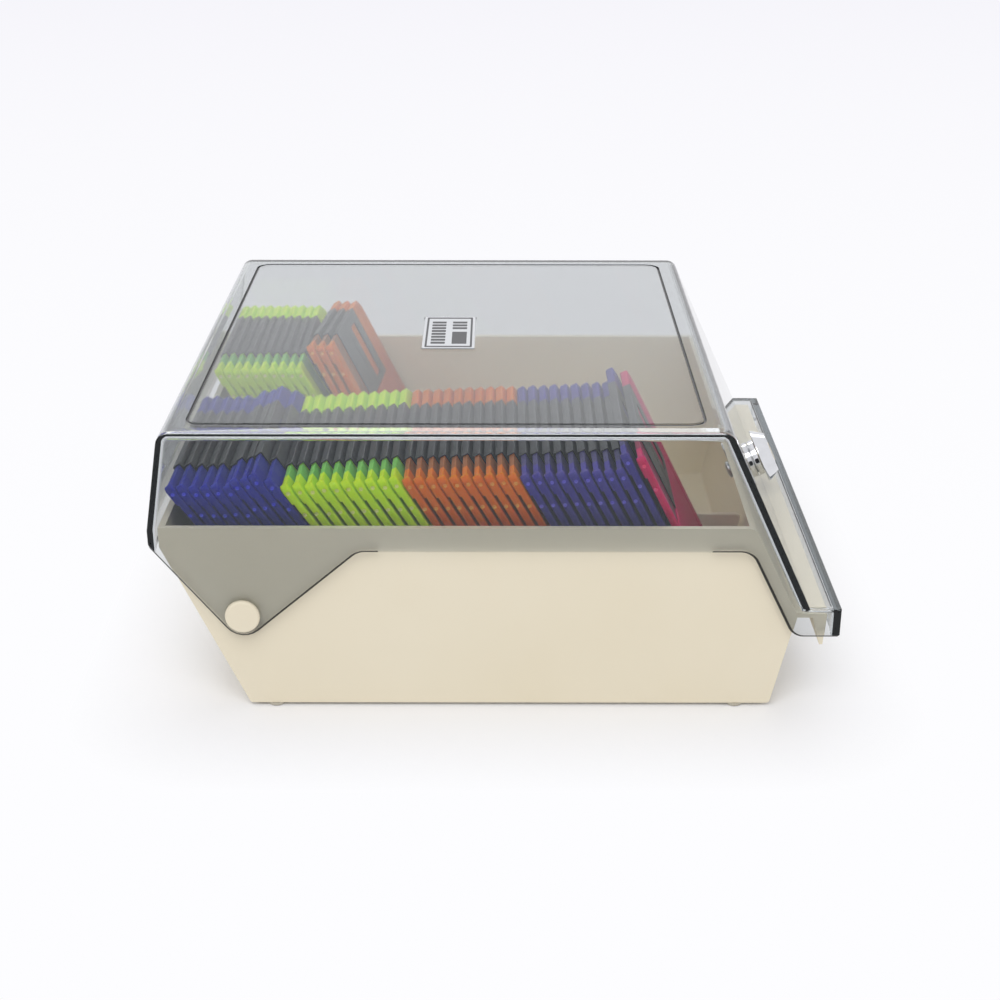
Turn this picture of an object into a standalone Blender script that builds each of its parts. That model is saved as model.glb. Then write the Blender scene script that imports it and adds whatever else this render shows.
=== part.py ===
"""Two-row diskette box: a cream tray, a smoked hinged lid with a key lock, and the diskettes it holds.

Metres, +Z up. +X is the lock end, -X the hinge end and -Y the near long side.
The origin lies on the floor, under the middle of the box.
"""

import math

import bmesh
import bpy
from mathutils import Matrix, Vector

MM = 0.001
GAP = 0.3 * MM

# Lid: smoked clear moulding, seen from the side as one outline in X and Z
LID_HALF_LENGTH = 122.0 * MM
LID_HALF_WIDTH = 108.9 * MM
LID_WALL = 2.0 * MM
LID_TOP_Z = 107.8 * MM
LID_TOP_REAR_X = -115.9 * MM
LID_TOP_FRONT_X = 79.8 * MM
LID_TOP_CORNER = 4.5 * MM
LID_EDGE_ROUND = 3.0 * MM
REAR_KINK_Z = 71.2 * MM
REAR_BOTTOM_Z = 65.2 * MM
SIDE_EDGE_Z = 63.4 * MM
EAR_FRONT_X = -49.0 * MM
EAR_RADIUS = 7.9 * MM
SIDE_SLOPE_TOP_X = 88.9 * MM
SIDE_SLOPE_BOTTOM_X = 105.4 * MM
SIDE_CORNER = 6.0 * MM
LIP_BOTTOM_Z = 30.2 * MM
FLANGE_TOP_Z = 40.9 * MM
FLANGE_REAR_X = 110.8 * MM
GROOVE_REAR_X = -107.6 * MM
GROOVE_FRONT_X = 70.6 * MM
GROOVE_HALF_WIDTH = 101.2 * MM
GROOVE_WIDTH = 0.9 * MM
GROOVE_DEPTH = 0.5 * MM
GROOVE_CORNER = 6.0 * MM

# Printed plate let into the lid's top
PLATE_X = -19.4 * MM
PLATE_Y = 1.2 * MM
PLATE_LENGTH = 20.6 * MM
PLATE_WIDTH = 40.0 * MM
PLATE_THICK = 0.6 * MM

# Hinge: one plug pin on each side
PIVOT_X = -90.5 * MM
PIVOT_Z = 38.4 * MM
PIN_RADIUS = 3.1 * MM
CAP_RADIUS = 6.2 * MM
CAP_THICK = 1.7 * MM
PIN_END_Y = 100.0 * MM
CLIP_RADIUS = 5.5 * MM

# Tray: opaque cream moulding, open at the top
TRAY_HALF_WIDTH = 105.9 * MM
TRAY_WALL = 2.3 * MM
TRAY_FLOOR_THICK = 3.6 * MM
TRAY_BOTTOM_Z = 1.2 * MM
TRAY_RIM_Z = 72.0 * MM
TRAY_REAR_X = -118.6 * MM
TRAY_REAR_KINK_Z = 64.0 * MM
TRAY_FLOOR_REAR_X = -89.4 * MM
TRAY_FLOOR_FRONT_X = 98.3 * MM
TRAY_RIM_FRONT_X = 90.2 * MM
RIM_CORNER = 4.0 * MM
TRAY_OUTER_ROUND = 1.2 * MM
TRAY_INNER_ROUND = 1.7 * MM
TRAY_CORNER = 3.0 * MM
LEDGE_Z = 38.1 * MM
LEDGE_THICK = 1.9 * MM
LEDGE_FRONT_X = 116.8 * MM
LEDGE_ROOT = 1.6 * MM
LEDGE_END_INSET = 0.8 * MM
HOOK_TIP_X = 115.4 * MM
HOOK_TIP_Z = 25.0 * MM
HOOK_TIP_THICK = 1.0 * MM
HOOK_REAR_X = 111.2 * MM
NOTCH_HALF_WIDTH = 9.5 * MM
NOTCH_BOTTOM_Z = 41.7 * MM

FOOT_RADIUS = 3.0 * MM
FOOT_HEIGHT = 1.7 * MM
FOOT_X = (-80.8 * MM, 86.5 * MM)
FOOT_Y = 101.6 * MM

DIVIDER_THICK = 2.0 * MM
DIVIDER_TOP_Z = 30.3 * MM
DIVIDER_CORNER = 2.0 * MM

# Key lock: round pieces along one axis, square to the lid's front panel.
# Depths are measured outwards from the panel's outer face.
LOCK_Z = 54.3 * MM
BARREL_RADIUS = 6.0 * MM
BARREL_IN = -7.0 * MM
BARREL_OUT = 2.4 * MM
COLLAR_RADIUS = 7.5 * MM
HEAD_BASE_RADIUS = 11.0 * MM
HEAD_FACE_RADIUS = 8.0 * MM
HEAD_THICK = 5.2 * MM
HEAD_RIM = 0.6 * MM
NUT_RADIUS = 8.6 * MM
NUT_THICK = 3.0 * MM
PLUG_RADIUS = 4.0 * MM
PLUG_IN = -7.7 * MM
KEY_SLOT = (5.0 * MM, 1.0 * MM, 3.0 * MM)
CAM_THICK = 1.5 * MM
CAM_LENGTH = 12.0 * MM
CAM_HALF_WIDTH = 3.2 * MM
SCREW_RADIUS = 1.7 * MM
SCREW_HEAD_RADIUS = 3.5 * MM
SCREW_HEAD_THICK = 1.8 * MM
SCREW_DEPTH = 2.6 * MM

# Diskettes, stored shutter up and leaning back on the ones behind
DISK_WIDTH = 90.0 * MM
DISK_HEIGHT = 94.0 * MM
DISK_THICK = 3.2 * MM
DISK_CORNER = 3.0 * MM
DISK_CUT_CORNER = 4.0 * MM
PACK_TIE = 0.1 * MM
ROW_Y = 52.5 * MM
SHUTTER_WIDTH = 50.0 * MM
SHUTTER_HEIGHT = 32.0 * MM
SHUTTER_SHEET = 0.4 * MM
SHUTTER_TRAVEL = 18.0 * MM
SHUTTER_WINDOW = (9.5 * MM, 24.0 * MM)
SHUTTER_WINDOW_Y = 9.0 * MM
SHUTTER_WINDOW_DROP = 4.5 * MM

NEAR_ROW_START_X = -63.6 * MM
FAR_ROW_START_X = -70.9 * MM
FAR_LOOSE_SHIFT_Y = -4.4 * MM

# Pack name, lean in degrees from upright, gap to the next pack in millimetres,
# and how many millimetres each diskette stands proud
NEAR_PACKS = (
    ("blue_disks", 34.7, 0.6, (0.2, 0.4, 0, 0, 0.5, 0, 3.4, 2.7, 5.2, 2.7)),
    ("green_disks", 32.8, 0.6, (0, 0.2, 0, 0.5, 0.2, 0.5, 0.3, 0.6, 0.4, 0.8)),
    ("orange_disks", 30.4, 1.8, (0, 0.2, 0.1, 0.3, 0.2, 0.5, 0.3, 0.4, 0.6, 0.3)),
    ("violet_disks", 28.5, 2.4, (0, 0.3, 0.2, 0.4, 0.3, 0.5, 0.6, 0.7, 0.9, 7.1)),
)
FAR_PACK = ("far_green_disks", 28.5, 0.4, (0, 0.3, 0.1, 0.4, 0.2, 0.5, 0.3, 0.5, 0.2, 0.4))
RED_LEAN = 26.6
RED_PROUD = 5.2 * MM
FAR_LOOSE_LEAN = 27.0
FAR_LOOSE_ROLL = -5.6
FAR_LOOSE_COUNT = 3

TURN_STEPS = 28


def clear_scene():
    for obj in list(bpy.data.objects):
        bpy.data.objects.remove(obj, do_unlink=True)


def material(name, colour, roughness, metallic=0.0, alpha=1.0):
    made = bpy.data.materials.new(name)
    made.use_nodes = True
    shader = made.node_tree.nodes["Principled BSDF"]
    shader.inputs["Base Color"].default_value = (*colour, 1.0)
    shader.inputs["Roughness"].default_value = roughness
    shader.inputs["Metallic"].default_value = metallic
    shader.inputs["Alpha"].default_value = alpha
    return made


# Outlines

def rounded(corners, steps=4):
    """Outline through corners (a, b, radius), each turned into an arc where it has a radius."""
    outline = []
    for index, (a, b, radius) in enumerate(corners):
        here = Vector((a, b))
        back = (Vector(corners[index - 1][:2]) - here).normalized()
        ahead = (Vector(corners[(index + 1) % len(corners)][:2]) - here).normalized()
        if not radius:
            outline.append(here)
            continue
        half_angle = back.angle(ahead) / 2
        middle = here + (back + ahead).normalized() * (radius / math.sin(half_angle))
        first = here + back * (radius / math.tan(half_angle)) - middle
        last = here + ahead * (radius / math.tan(half_angle)) - middle
        turn = math.atan2(first.x * last.y - first.y * last.x, first.dot(last))
        for step in range(steps + 1):
            outline.append(middle + Matrix.Rotation(turn * step / steps, 2) @ first)
    return outline


def crossing(point_a, way_a, point_b, way_b):
    """Where two lines in a plane cross."""
    offset = point_b - point_a
    along = (offset.x * way_b.y - offset.y * way_b.x) / (way_a.x * way_b.y - way_a.y * way_b.x)
    return point_a + way_a * along


def inset(corners, distance):
    """The same corners, moved inwards by a distance. The corners run clockwise, seen with b up."""
    points = [Vector(corner[:2]) for corner in corners]
    moved = []
    for index, (here, corner) in enumerate(zip(points, corners)):
        way_in = (here - points[index - 1]).normalized()
        way_out = (points[(index + 1) % len(points)] - here).normalized()
        side_in = Vector((way_in.y, -way_in.x)) * distance
        side_out = Vector((way_out.y, -way_out.x)) * distance
        place = crossing(here + side_in, way_in, here + side_out, way_out)
        moved.append((place.x, place.y, max(corner[2] - distance, 0) if corner[2] else 0))
    return moved


def rectangle(low_a, high_a, low_b, high_b, radius=0.0):
    corners = (low_a, low_b), (low_a, high_b), (high_a, high_b), (high_a, low_b)
    return [(a, b, radius) for a, b in corners]


def tangent(point, centre, radius, turn):
    """Direction from a point to where it grazes a circle, on the side that turn (+1 or -1) picks."""
    towards = centre - point
    return Matrix.Rotation(turn * math.asin(radius / towards.length), 2) @ towards.normalized()


# Solids

def finished(name, builder, finish=None, place=None):
    """Makes an object of a mesh, with its faces turned outwards."""
    bmesh.ops.recalc_face_normals(builder, faces=builder.faces)
    mesh = bpy.data.meshes.new(name)
    builder.to_mesh(mesh)
    builder.free()
    obj = bpy.data.objects.new(name, mesh)
    bpy.context.scene.collection.objects.link(obj)
    if finish:
        mesh.materials.append(finish)
    if place:
        obj.matrix_world = place
    return obj


def placed(a, b, depth, along):
    """A point of an outline: (a, b) is (Y, Z) along X, (X, Z) along Y and (X, Y) along Z."""
    return {"X": (depth, a, b), "Y": (a, depth, b), "Z": (a, b, depth)}[along]


def prism_builder(outline, low, high, along):
    """A solid with one outline all along an axis."""
    builder = bmesh.new()
    face = builder.faces.new([builder.verts.new(placed(a, b, low, along)) for a, b in outline])
    pulled = bmesh.ops.extrude_face_region(builder, geom=[face])["geom"]
    ends = [item for item in pulled if isinstance(item, bmesh.types.BMVert)]
    bmesh.ops.translate(builder, verts=ends, vec=placed(0, 0, high - low, along))
    return builder


def prism(name, outline, low, high, along, finish=None, place=None):
    return finished(name, prism_builder(outline, low, high, along), finish, place)


def side_edges(builder):
    """Edges round the two ends of a solid that runs along Y, each with its middle."""
    for edge in list(builder.edges):
        start, end = (vert.co for vert in edge.verts)
        if abs(start.y - end.y) < 0.01 * MM:
            yield edge, (start + end) / 2


def round_edges(builder, edges, radius):
    bmesh.ops.bevel(
        builder, geom=edges, offset=radius, offset_type="OFFSET", affect="EDGES",
        segments=3, profile=0.5, material=-1, clamp_overlap=True,
    )


def turned(name, profile, finish=None, place=None, closed=False):
    """A round solid about Z from a profile of (radius, height). A closed profile makes a ring."""
    builder = bmesh.new()
    points = [builder.verts.new((radius, 0, height)) for radius, height in profile]
    edges = [builder.edges.new(pair) for pair in zip(points, points[1:])]
    if closed:
        edges.append(builder.edges.new((points[-1], points[0])))
    bmesh.ops.spin(
        builder, geom=points + edges, cent=(0, 0, 0), axis=(0, 0, 1),
        angle=math.tau, steps=TURN_STEPS, use_merge=True,
    )
    bmesh.ops.remove_doubles(builder, verts=builder.verts, dist=0.001 * MM)
    obj = finished(name, builder, finish, place)
    obj.data.shade_smooth()
    obj.data.set_sharp_from_angle(angle=math.radians(35))
    return obj


def rod(name, radius, low, high, finish=None, place=None):
    return turned(name, [(0, low), (radius, low), (radius, high), (0, high)], finish, place)


def ring(name, inner, outer, low, high, finish=None, place=None):
    profile = [(inner, low), (outer, low), (outer, high), (inner, high)]
    return turned(name, profile, finish, place, closed=True)


def combine(target, other, operation):
    """Cuts another solid out of the target, or joins it on, and hides that solid."""
    modifier = target.modifiers.new(other.name, "BOOLEAN")
    modifier.operation = operation
    modifier.solver = "EXACT"
    modifier.object = other
    other.hide_render = True
    other.display_type = "WIRE"


def cut(target, *cutters):
    for cutter in cutters:
        combine(target, cutter, "DIFFERENCE")


def joint_empty(name, place):
    empty = bpy.data.objects.new(name, None)
    bpy.context.scene.collection.objects.link(empty)
    empty.matrix_world = place
    return empty


def carry(parent, *children):
    """Parents pieces without moving them."""
    bpy.context.view_layer.update()
    for child in children:
        child.parent = parent
        child.matrix_parent_inverse = parent.matrix_world.inverted()


# Places worked out from the sizes above

PANEL_START = Vector((LID_TOP_FRONT_X, LID_TOP_Z))
PANEL_WAY = (Vector((FLANGE_REAR_X, FLANGE_TOP_Z)) - PANEL_START).normalized()
PANEL_LEAN = math.atan2(PANEL_WAY.x, -PANEL_WAY.y)
LOCK_X = PANEL_START.x + (PANEL_START.y - LOCK_Z) * math.tan(PANEL_LEAN)
LOCK_PLACE = Matrix.Translation((LOCK_X, 0, LOCK_Z)) @ Matrix.Rotation(math.pi / 2 - PANEL_LEAN, 4, "Y")
NEAR_SIDE = Matrix.Translation((PIVOT_X, 0, PIVOT_Z)) @ Matrix.Rotation(math.pi / 2, 4, "X")
FAR_SIDE = Matrix.Translation((PIVOT_X, 0, PIVOT_Z)) @ Matrix.Rotation(-math.pi / 2, 4, "X")
ABOVE_Z = LID_TOP_Z + 20 * MM
BELOW_Z = -20 * MM
FLOOR_Z = TRAY_BOTTOM_Z + TRAY_FLOOR_THICK


def lid_corners():
    """The lid's side outline, clockwise from the rear bottom corner, which is left in this view."""
    pivot = Vector((PIVOT_X, PIVOT_Z))
    rear = Vector((-LID_HALF_LENGTH, REAR_BOTTOM_Z))
    front = Vector((EAR_FRONT_X, SIDE_EDGE_Z))
    rear_way = tangent(rear, pivot, EAR_RADIUS, -1)
    front_way = tangent(front, pivot, EAR_RADIUS, 1)
    ear = crossing(rear, rear_way, front, front_way)
    upper = [
        (-LID_HALF_LENGTH, REAR_BOTTOM_Z, 0),
        (-LID_HALF_LENGTH, REAR_KINK_Z, 0),
        (LID_TOP_REAR_X, LID_TOP_Z, LID_TOP_CORNER),
        (LID_TOP_FRONT_X, LID_TOP_Z, LID_TOP_CORNER),
        (FLANGE_REAR_X, FLANGE_TOP_Z, 0),
        (LID_HALF_LENGTH, FLANGE_TOP_Z, 0),
        (LID_HALF_LENGTH, LIP_BOTTOM_Z, 0),
    ]
    lower = [
        (SIDE_SLOPE_BOTTOM_X, LIP_BOTTOM_Z, SIDE_CORNER),
        (SIDE_SLOPE_TOP_X, SIDE_EDGE_Z, SIDE_CORNER),
        (EAR_FRONT_X, SIDE_EDGE_Z, SIDE_CORNER),
        (ear.x, ear.y, EAR_RADIUS),
    ]
    return upper, lower


def round_lid_edges(builder):
    """Rounds the near and far edges of the top, ends and flange, not the lower edges of the sides."""
    edges = []
    for edge, middle in side_edges(builder):
        is_upper = middle.z > SIDE_EDGE_Z + 2 * MM
        is_lip = middle.x > FLANGE_REAR_X and middle.z > LIP_BOTTOM_Z + MM
        if is_upper or is_lip:
            edges.append(edge)
    round_edges(builder, edges, LID_EDGE_ROUND)


def lid_shell(finish):
    upper, lower = lid_corners()
    builder = prism_builder(rounded(upper + lower), -LID_HALF_WIDTH, LID_HALF_WIDTH, "Y")
    round_lid_edges(builder)
    lid = finished("lid_shell", builder, finish)
    hollow = [(-LID_HALF_LENGTH, BELOW_Z, 0)] + upper[1:-1] + [(LID_HALF_LENGTH, BELOW_Z, 0)]
    inner_width = LID_HALF_WIDTH - LID_WALL
    side = GROOVE_HALF_WIDTH
    track = rectangle(GROOVE_REAR_X, GROOVE_FRONT_X, -side, side, GROOVE_CORNER)
    groove_z = LID_TOP_Z - GROOVE_DEPTH
    groove = prism("groove_cutter", rounded(track), groove_z, ABOVE_Z, "Z")
    island = prism("groove_island", rounded(inset(track, GROOVE_WIDTH)), BELOW_Z, ABOVE_Z + MM, "Z")
    cut(groove, island)
    half_plate = Vector((PLATE_LENGTH, PLATE_WIDTH)) / 2 + Vector((GAP, GAP))
    bed = rectangle(
        PLATE_X - half_plate.x, PLATE_X + half_plate.x, PLATE_Y - half_plate.y, PLATE_Y + half_plate.y,
    )
    hole_end = LID_HALF_WIDTH + MM
    cut(
        lid,
        prism("lid_hollow", rounded(inset(hollow, LID_WALL)), -inner_width, inner_width, "Y"),
        rod("lid_hinge_hole", PIN_RADIUS + GAP, -hole_end, hole_end, place=NEAR_SIDE),
        rod("lid_lock_hole", BARREL_RADIUS + GAP, -LID_WALL - 2 * MM, 2 * MM, place=LOCK_PLACE),
        groove,
        prism("plate_bed", rounded(bed), LID_TOP_Z - PLATE_THICK, ABOVE_Z, "Z"),
    )
    return lid


def label_plate(finish):
    half = Vector((PLATE_LENGTH, PLATE_WIDTH)) / 2
    outline = rectangle(
        PLATE_X - half.x, PLATE_X + half.x, PLATE_Y - half.y, PLATE_Y + half.y, 0.8 * MM,
    )
    low = LID_TOP_Z - PLATE_THICK + GAP
    return prism("label_plate", rounded(outline, 2), low, low + PLATE_THICK, "Z", finish)


def wall_x(line, height):
    """X of a wall's line at a height."""
    return crossing(*line, Vector((0, height)), Vector((1, 0))).x


def line_between(low_x, low_z, high_x, high_z):
    return Vector((low_x, low_z)), Vector((high_x - low_x, high_z - low_z))


LEDGE_LOW_Z = LEDGE_Z - LEDGE_THICK
UPPER_FRONT = (Vector((TRAY_RIM_FRONT_X, TRAY_RIM_Z)), PANEL_WAY)
FRONT_KINK_Z = (LEDGE_Z + LEDGE_LOW_Z) / 2
FRONT_KINK_X = wall_x(UPPER_FRONT, FRONT_KINK_Z)
LOWER_FRONT = line_between(TRAY_FLOOR_FRONT_X, TRAY_BOTTOM_Z, FRONT_KINK_X, FRONT_KINK_Z)
REAR_WALL = line_between(TRAY_FLOOR_REAR_X, TRAY_BOTTOM_Z, TRAY_REAR_X, TRAY_REAR_KINK_Z)


def tray_body(finish):
    """The tray's outside as one solid, with rounded upright corners."""
    outline = [
        (TRAY_FLOOR_REAR_X, TRAY_BOTTOM_Z, TRAY_OUTER_ROUND),
        (TRAY_REAR_X, TRAY_REAR_KINK_Z, 0),
        (TRAY_REAR_X, TRAY_RIM_Z, 0),
        (TRAY_RIM_FRONT_X, TRAY_RIM_Z, RIM_CORNER),
        (FRONT_KINK_X, FRONT_KINK_Z, 0),
        (TRAY_FLOOR_FRONT_X, TRAY_BOTTOM_Z, TRAY_OUTER_ROUND),
    ]
    builder = prism_builder(rounded(outline), -TRAY_HALF_WIDTH, TRAY_HALF_WIDTH, "Y")
    upright = []
    for edge, _ in side_edges(builder):
        if abs(edge.verts[0].co.z - edge.verts[1].co.z) > RIM_CORNER:
            upright.append(edge)
    round_edges(builder, upright, TRAY_CORNER)
    return finished("base_tray", builder, finish)


def front_ledge():
    """The ledge along the front wall, with its downturned hook, rooted in the wall."""
    root_x = FRONT_KINK_X - LEDGE_ROOT
    outline = [
        (root_x, LEDGE_LOW_Z, 0), (root_x, LEDGE_Z, 0), (LEDGE_FRONT_X, LEDGE_Z, 0),
        (HOOK_TIP_X, HOOK_TIP_Z, 0), (HOOK_TIP_X - HOOK_TIP_THICK, HOOK_TIP_Z, 0),
        (HOOK_REAR_X, LEDGE_LOW_Z, 0),
    ]
    end = TRAY_HALF_WIDTH - LEDGE_END_INSET
    return prism("front_ledge", rounded(outline), -end, end, "Y")


def base_tray(finish):
    tray = tray_body(finish)
    combine(tray, front_ledge(), "UNION")
    under_z = FLOOR_Z - TRAY_WALL
    hollow = [
        (wall_x(REAR_WALL, under_z), under_z, TRAY_WALL + TRAY_INNER_ROUND),
        (TRAY_REAR_X, TRAY_REAR_KINK_Z, 0),
        (TRAY_REAR_X, ABOVE_Z, 0),
        (wall_x(UPPER_FRONT, ABOVE_Z), ABOVE_Z, 0),
        (FRONT_KINK_X, FRONT_KINK_Z, 0),
        (wall_x(LOWER_FRONT, under_z), under_z, TRAY_WALL + TRAY_INNER_ROUND),
    ]
    inner_width = TRAY_HALF_WIDTH - TRAY_WALL
    notch = rectangle(0, FRONT_KINK_X + 3 * MM, NOTCH_BOTTOM_Z, ABOVE_Z)
    hole_end = LID_HALF_WIDTH + MM
    cut(
        tray,
        prism("tray_hollow", rounded(inset(hollow, TRAY_WALL)), -inner_width, inner_width, "Y"),
        prism("lock_notch", rounded(notch), -NOTCH_HALF_WIDTH, NOTCH_HALF_WIDTH, "Y"),
        rod("tray_hinge_hole", PIN_RADIUS + GAP, -hole_end, hole_end, place=NEAR_SIDE),
    )
    for number, place in enumerate(foot_places()):
        seat_top = FOOT_HEIGHT + GAP
        cut(tray, rod(f"foot_seat_{number}", FOOT_RADIUS + GAP, BELOW_Z, seat_top, place=place))
    return tray


def foot_places():
    return [Matrix.Translation((x, side * FOOT_Y, 0)) for side in (-1, 1) for x in FOOT_X]


def feet(finish):
    names = ("foot_near_rear", "foot_near_front", "foot_far_rear", "foot_far_front")
    worn = FOOT_RADIUS - 0.5 * MM
    profile = [(0, 0), (worn, 0), (FOOT_RADIUS, 0.5 * MM), (FOOT_RADIUS, FOOT_HEIGHT), (0, FOOT_HEIGHT)]
    return [turned(name, profile, finish, place) for name, place in zip(names, foot_places())]


def row_divider(finish):
    """Low wall between the two rows, shaped to the sloping ends of the tray."""
    clear = TRAY_WALL + 4 * GAP
    foot_clear = clear + TRAY_INNER_ROUND
    outline = [
        (wall_x(REAR_WALL, FLOOR_Z) + foot_clear, FLOOR_Z + GAP, 0),
        (wall_x(REAR_WALL, DIVIDER_TOP_Z) + clear, DIVIDER_TOP_Z, DIVIDER_CORNER),
        (wall_x(LOWER_FRONT, DIVIDER_TOP_Z) - clear, DIVIDER_TOP_Z, DIVIDER_CORNER),
        (wall_x(LOWER_FRONT, FLOOR_Z) - foot_clear, FLOOR_Z + GAP, 0),
    ]
    return prism("row_divider", rounded(outline), -DIVIDER_THICK / 2, DIVIDER_THICK / 2, "Y", finish)


def hinge(pin_finish, clip_finish):
    """Plug pins pushed in from outside through lid and tray, each held by a ring inside."""
    cap_low = LID_HALF_WIDTH + GAP
    cap_high = cap_low + CAP_THICK
    soft = 0.7 * MM
    pin = [
        (0, PIN_END_Y), (PIN_RADIUS, PIN_END_Y), (PIN_RADIUS, cap_low), (CAP_RADIUS, cap_low),
        (CAP_RADIUS, cap_high - soft), (CAP_RADIUS - soft, cap_high), (0, cap_high),
    ]
    clip_low = PIN_END_Y + MM
    clip_high = TRAY_HALF_WIDTH - TRAY_WALL - GAP
    clip_bore = PIN_RADIUS + GAP
    for side, place in (("near", NEAR_SIDE), ("far", FAR_SIDE)):
        turned(f"hinge_pin_{side}", pin, pin_finish, place)
        ring(f"hinge_clip_{side}", clip_bore, CLIP_RADIUS, clip_low, clip_high, clip_finish, place)


def lock_body(chrome, steel):
    """Barrel through the panel, with its collar and tapered head outside and its nut inside."""
    bore = PLUG_RADIUS + GAP
    barrel = ring("lock_barrel", bore, BARREL_RADIUS, BARREL_IN, BARREL_OUT, chrome, LOCK_PLACE)
    over = BARREL_RADIUS + GAP
    collar = ring("lock_collar", over, COLLAR_RADIUS, GAP, BARREL_OUT, chrome, LOCK_PLACE)
    low = BARREL_OUT + GAP
    high = low + HEAD_THICK
    taper_start = low + HEAD_RIM
    profile = [
        (bore, low), (HEAD_BASE_RADIUS, low), (HEAD_BASE_RADIUS, taper_start),
        (HEAD_FACE_RADIUS, high), (bore, high),
    ]
    head = turned("lock_head", profile, chrome, LOCK_PLACE, closed=True)
    corners = []
    for side in range(6):
        turn = math.tau * side / 6
        corners.append(Vector((math.cos(turn), math.sin(turn))) * NUT_RADIUS)
    nut_high = -LID_WALL - GAP
    nut = prism("lock_nut", corners, nut_high - NUT_THICK, nut_high, "Z", steel, LOCK_PLACE)
    cut(nut, rod("nut_bore", over, nut_high - NUT_THICK - MM, nut_high + MM, place=LOCK_PLACE))
    return [barrel, collar, head, nut]


def lock_core(brass, steel):
    """What the key turns: the plug, and the cam on its inner end, which stands up when unlocked."""
    face = BARREL_OUT + GAP + HEAD_THICK + GAP
    plug = rod("lock_plug", PLUG_RADIUS, PLUG_IN, face, brass, LOCK_PLACE)
    long_side, short_side, depth = KEY_SLOT
    slot = rectangle(-long_side / 2, long_side / 2, -short_side / 2, short_side / 2)
    bore_end = PLUG_IN + SCREW_DEPTH + GAP
    cut(
        plug,
        prism("key_slot", rounded(slot), face - depth, face + MM, "Z", place=LOCK_PLACE),
        rod("screw_bore", SCREW_RADIUS + GAP, PLUG_IN - MM, bore_end, place=LOCK_PLACE),
    )
    half = CAM_HALF_WIDTH
    bar = rectangle(-CAM_LENGTH, half, -half, half, half * 0.98)
    cam_high = PLUG_IN - GAP
    cam_low = cam_high - CAM_THICK
    cam = prism("lock_cam", rounded(bar), cam_low, cam_high, "Z", steel, LOCK_PLACE)
    cut(cam, rod("cam_bore", SCREW_RADIUS + GAP, cam_low - MM, cam_high + MM, place=LOCK_PLACE))
    head_high = cam_low - GAP
    head_low = head_high - SCREW_HEAD_THICK
    profile = [
        (0, head_low), (SCREW_HEAD_RADIUS, head_low), (SCREW_HEAD_RADIUS, head_high),
        (SCREW_RADIUS, head_high), (SCREW_RADIUS, PLUG_IN + SCREW_DEPTH), (0, PLUG_IN + SCREW_DEPTH),
    ]
    return [plug, cam, turned("lock_cam_screw", profile, steel, LOCK_PLACE)]


def disk_outline():
    """Face of one diskette: rounded corners, and one upper corner cut off at the far side."""
    half = DISK_WIDTH / 2
    top = DISK_HEIGHT
    return rounded([
        (-half, 0, DISK_CORNER), (-half, top, DISK_CORNER),
        (half - DISK_CUT_CORNER, top, 0), (half, top - DISK_CUT_CORNER, 0), (half, 0, DISK_CORNER),
    ], 2)


def disk_place(x, y, lift, lean, roll=0.0):
    """Place of a diskette whose lower rear edge stands at x, leaning back from upright."""
    stand = Matrix.Translation((x, y, FLOOR_Z + GAP + lift))
    return stand @ Matrix.Rotation(-lean, 4, "Y") @ Matrix.Rotation(roll, 4, "X")


def disk_pack(name, start_x, row_y, lean, gap, proud, finish):
    """Diskettes of one colour standing tight together, as one solid with a stepped top."""
    slope = Matrix.Rotation(-lean, 4, "Y") @ Vector((0, 0, MM))
    pitch = DISK_THICK / math.cos(lean)
    pack = None
    for number, up in enumerate(proud):
        thick = DISK_THICK + (PACK_TIE if number + 1 < len(proud) else 0)
        place = Matrix.Translation(slope * up) @ disk_place(start_x + number * pitch, row_y, 0, lean)
        label = name if pack is None else f"{name}_{number}"
        slab = prism(label, disk_outline(), 0, thick, "X", finish, place)
        if pack is None:
            pack = slab
        else:
            combine(pack, slab, "UNION")
    return start_x + len(proud) * pitch + gap * MM


def single_disk(name, place, body_finish, shutter_finish):
    """One diskette with its sliding shutter, which wraps the top edge and runs in a shallow track."""
    body = prism(f"{name}_disk", disk_outline(), 0, DISK_THICK, "X", body_finish, place)
    track_depth = SHUTTER_SHEET + GAP
    half = SHUTTER_WIDTH / 2
    track_end = -half - SHUTTER_TRAVEL
    low = DISK_HEIGHT - SHUTTER_HEIGHT
    track_outline = rectangle(track_end - GAP, half + GAP, low - GAP, DISK_HEIGHT + MM)
    core_outline = rectangle(track_end - MM, half + MM, low - MM, DISK_HEIGHT - track_depth)
    core_span = (track_depth, DISK_THICK - track_depth)
    track = prism(f"{name}_track", rounded(track_outline), -MM, DISK_THICK + MM, "X", place=place)
    core = prism(f"{name}_track_core", rounded(core_outline), *core_span, "X", place=place)
    cut(track, core)
    cut(body, track)

    sleeve_outline = rounded(rectangle(-half, half, low, DISK_HEIGHT))
    sleeve = prism(f"{name}_shutter", sleeve_outline, 0, DISK_THICK, "X", shutter_finish, place)
    inside = rounded(rectangle(-half - MM, half + MM, low - MM, DISK_HEIGHT - SHUTTER_SHEET))
    wide, tall = SHUTTER_WINDOW
    window_near = SHUTTER_WINDOW_Y - wide / 2
    window_top = DISK_HEIGHT - SHUTTER_WINDOW_DROP
    window = rectangle(window_near, window_near + wide, window_top - tall, window_top)
    cut(
        sleeve,
        prism(f"{name}_sleeve_inside", inside, SHUTTER_SHEET, DISK_THICK - SHUTTER_SHEET, "X", place=place),
        prism(f"{name}_window", rounded(window), -MM, DISK_THICK + MM, "X", place=place),
    )
    return body, sleeve


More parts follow.
